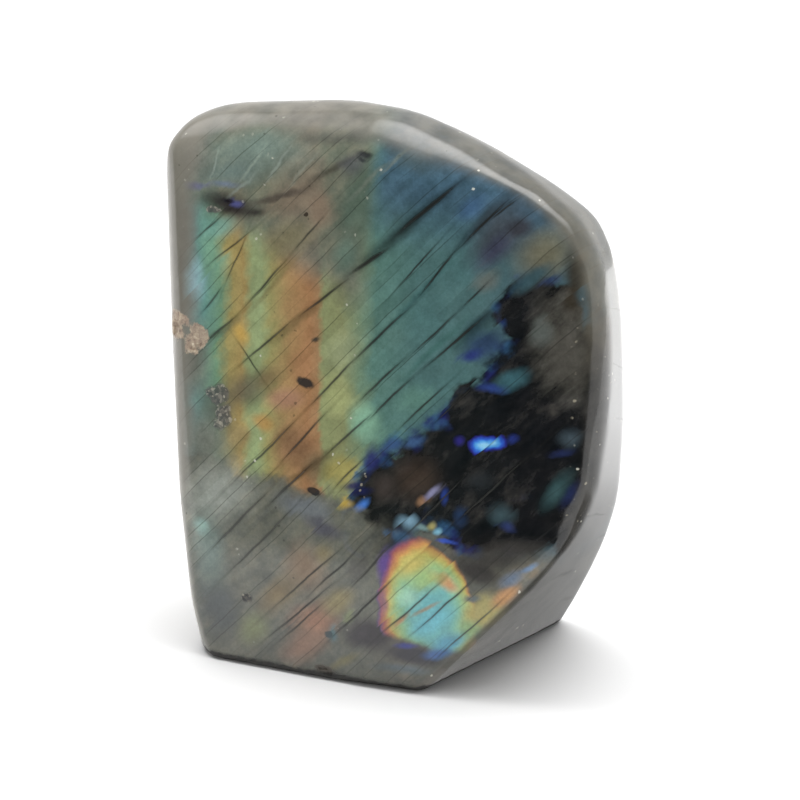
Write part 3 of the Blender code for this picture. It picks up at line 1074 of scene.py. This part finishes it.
NESTS = (  # centre, half size, turn
    ((-31.4, 49.5), (4.6, 2.8), 12), ((-30.0, 45.0), (3.0, 4.0), -24), ((-23.5, 10.2), (2.2, 1.6), 10),
    ((-33.5, 84.8), (2.6, 1.0), 0),
)
nests = strongest(lens(rough_edged, *nest) for nest in NESTS)
nests = step_between(swing(clouds(face_mm, 1.8, 3), 0.7, nests), 0.24, 0.5)
colour = blend(colour, crumb_colour, times(nests, 0.75))
note("grains")


# %% Bright and sooty flecks
def flecks(pitch, size, share, shift=0):
    """Small dots: 1 inside them. Only a share of the cells of a Voronoi texture has one."""
    moved = turned(rough_edged, STILL, place=(shift,) * 3)
    cells = node("TexVoronoi", {"Vector": moved, "Scale": 1 / pitch})
    chance = node("SeparateColor", {0: cells.outputs["Color"]}).outputs[1]
    dot = step_between(cells.outputs["Distance"], size / pitch, 0.5 * size / pitch)
    return times(dot, maths("LESS_THAN", chance, share))


pale = times(flecks(2.0, 0.34, 0.26), step_between(clouds(face_mm, 11, 2), 0.46, 0.58))
colour = blend(colour, tint("ceccbe"), times(pale, 0.75))
sooty = times(flecks(2.6, 0.34, 0.22, 7.3), 0.45)
colour = blend(colour, tint("2c2c2a"), sooty)
glints = flecks(1.5, 0.36, 0.22, 3.1)
glints = times(glints, times(dark, step_between(smoke, 0.46, 0.56)))
colour = blend(colour, tint("989280"), times(glints, 0.8))
note("flecks")

# %% [markdown]
# ## Broken skin
# Inside a chip the polish is gone and the feldspar is pale, crumbly and matte. The lumps that cut the
# chips are used once more, a little larger, as lenses that say where the break shows.

# %% The broken skin of the chips
ROUND_THE_CHIP = 1.7  # how much wider than its lump the broken skin reaches
BREAKS = (((-40.6, 63.3), (4.4, 2.2), -24), ((-35.8, 60.9), (3.6, 2.4), -34))  # centre, half size, turn


def hollow(centre, half, turn):
    """The lens of one chip, in millimetres of the whole stone."""
    stone_mm = turned(place.outputs["Object"], STILL, (1 / MM,) * 3)
    return ball(stone_mm, centre, [part * ROUND_THE_CHIP for part in half], turn)


broken = strongest(hollow(*chip) for chip in CHIPS.values())
for shallow in BREAKS:
    broken = maths("MAXIMUM", broken, times(lens(rough_edged, *shallow), 0.7))
ragged_break = maths("SUBTRACT", clouds(face_mm, 1.5, 4, 0.65), 0.5)
broken = step_between(maths("MULTIPLY_ADD", ragged_break, 0.5, broken), 0.2, 0.32)
break_colour = ramp(
    clouds(face_mm, 0.9, 4, 0.7), (0.3, "68584a"), (0.45, "9e8a78"), (0.6, "b4a28a"),
    (0.72, "ded4be"),
)
# the broken skin darker close to the base
break_colour = blend(break_colour, tint("4a443c"), step_between(up, 8, 4))
colour = blend(colour, break_colour, times(broken, 0.92))
note("broken skin")

# %% [markdown]
# ## The sawn rim and the polish
# The saw's rim round the foot was never polished, so it stays matte, and its near-black colour is painted
# shade for the dark under the foot's edge. All the rest is as smooth as glass, and a low roughness gives it
# that gloss; cracks, grains and breaks are rougher. Feldspar bends light a little more than glass does, so
# its IOR is 1.56.

# %% The sawn rim round the foot: matte, with painted shade
FELDSPAR_IOR = 1.56
rim_height = parts_of(level_mm)[2]
ragged_rim = swing(clouds(face_mm, 1.6, 3), 1.6, rim_height)
rim = step_between(ragged_rim, 2.1, 1.2)
# the rim's near-black colour is painted shade; its matte roughness, set below, is real
colour = blend(colour, ramp(grain, (0.3, "161514"), (0.7, "2e2c28")), rim)

# %% The polish
put(shader.inputs["Base Color"], colour)
gloss = spread(mottle, 0.3, 0.7, 0.07, 0.13)
gloss = maths("MULTIPLY_ADD", cracked, 0.25, gloss)
gloss = maths("MULTIPLY_ADD", maths("MAXIMUM", nests, broken), 0.4, gloss)
put(shader.inputs["Roughness"], maths("MULTIPLY_ADD", rim, 0.5, gloss))
shader.inputs["IOR"].default_value = FELDSPAR_IOR
stone.data.materials.clear()
stone.data.materials.append(labradorite)
print("stone material:", len(labradorite.node_tree.nodes), "nodes")
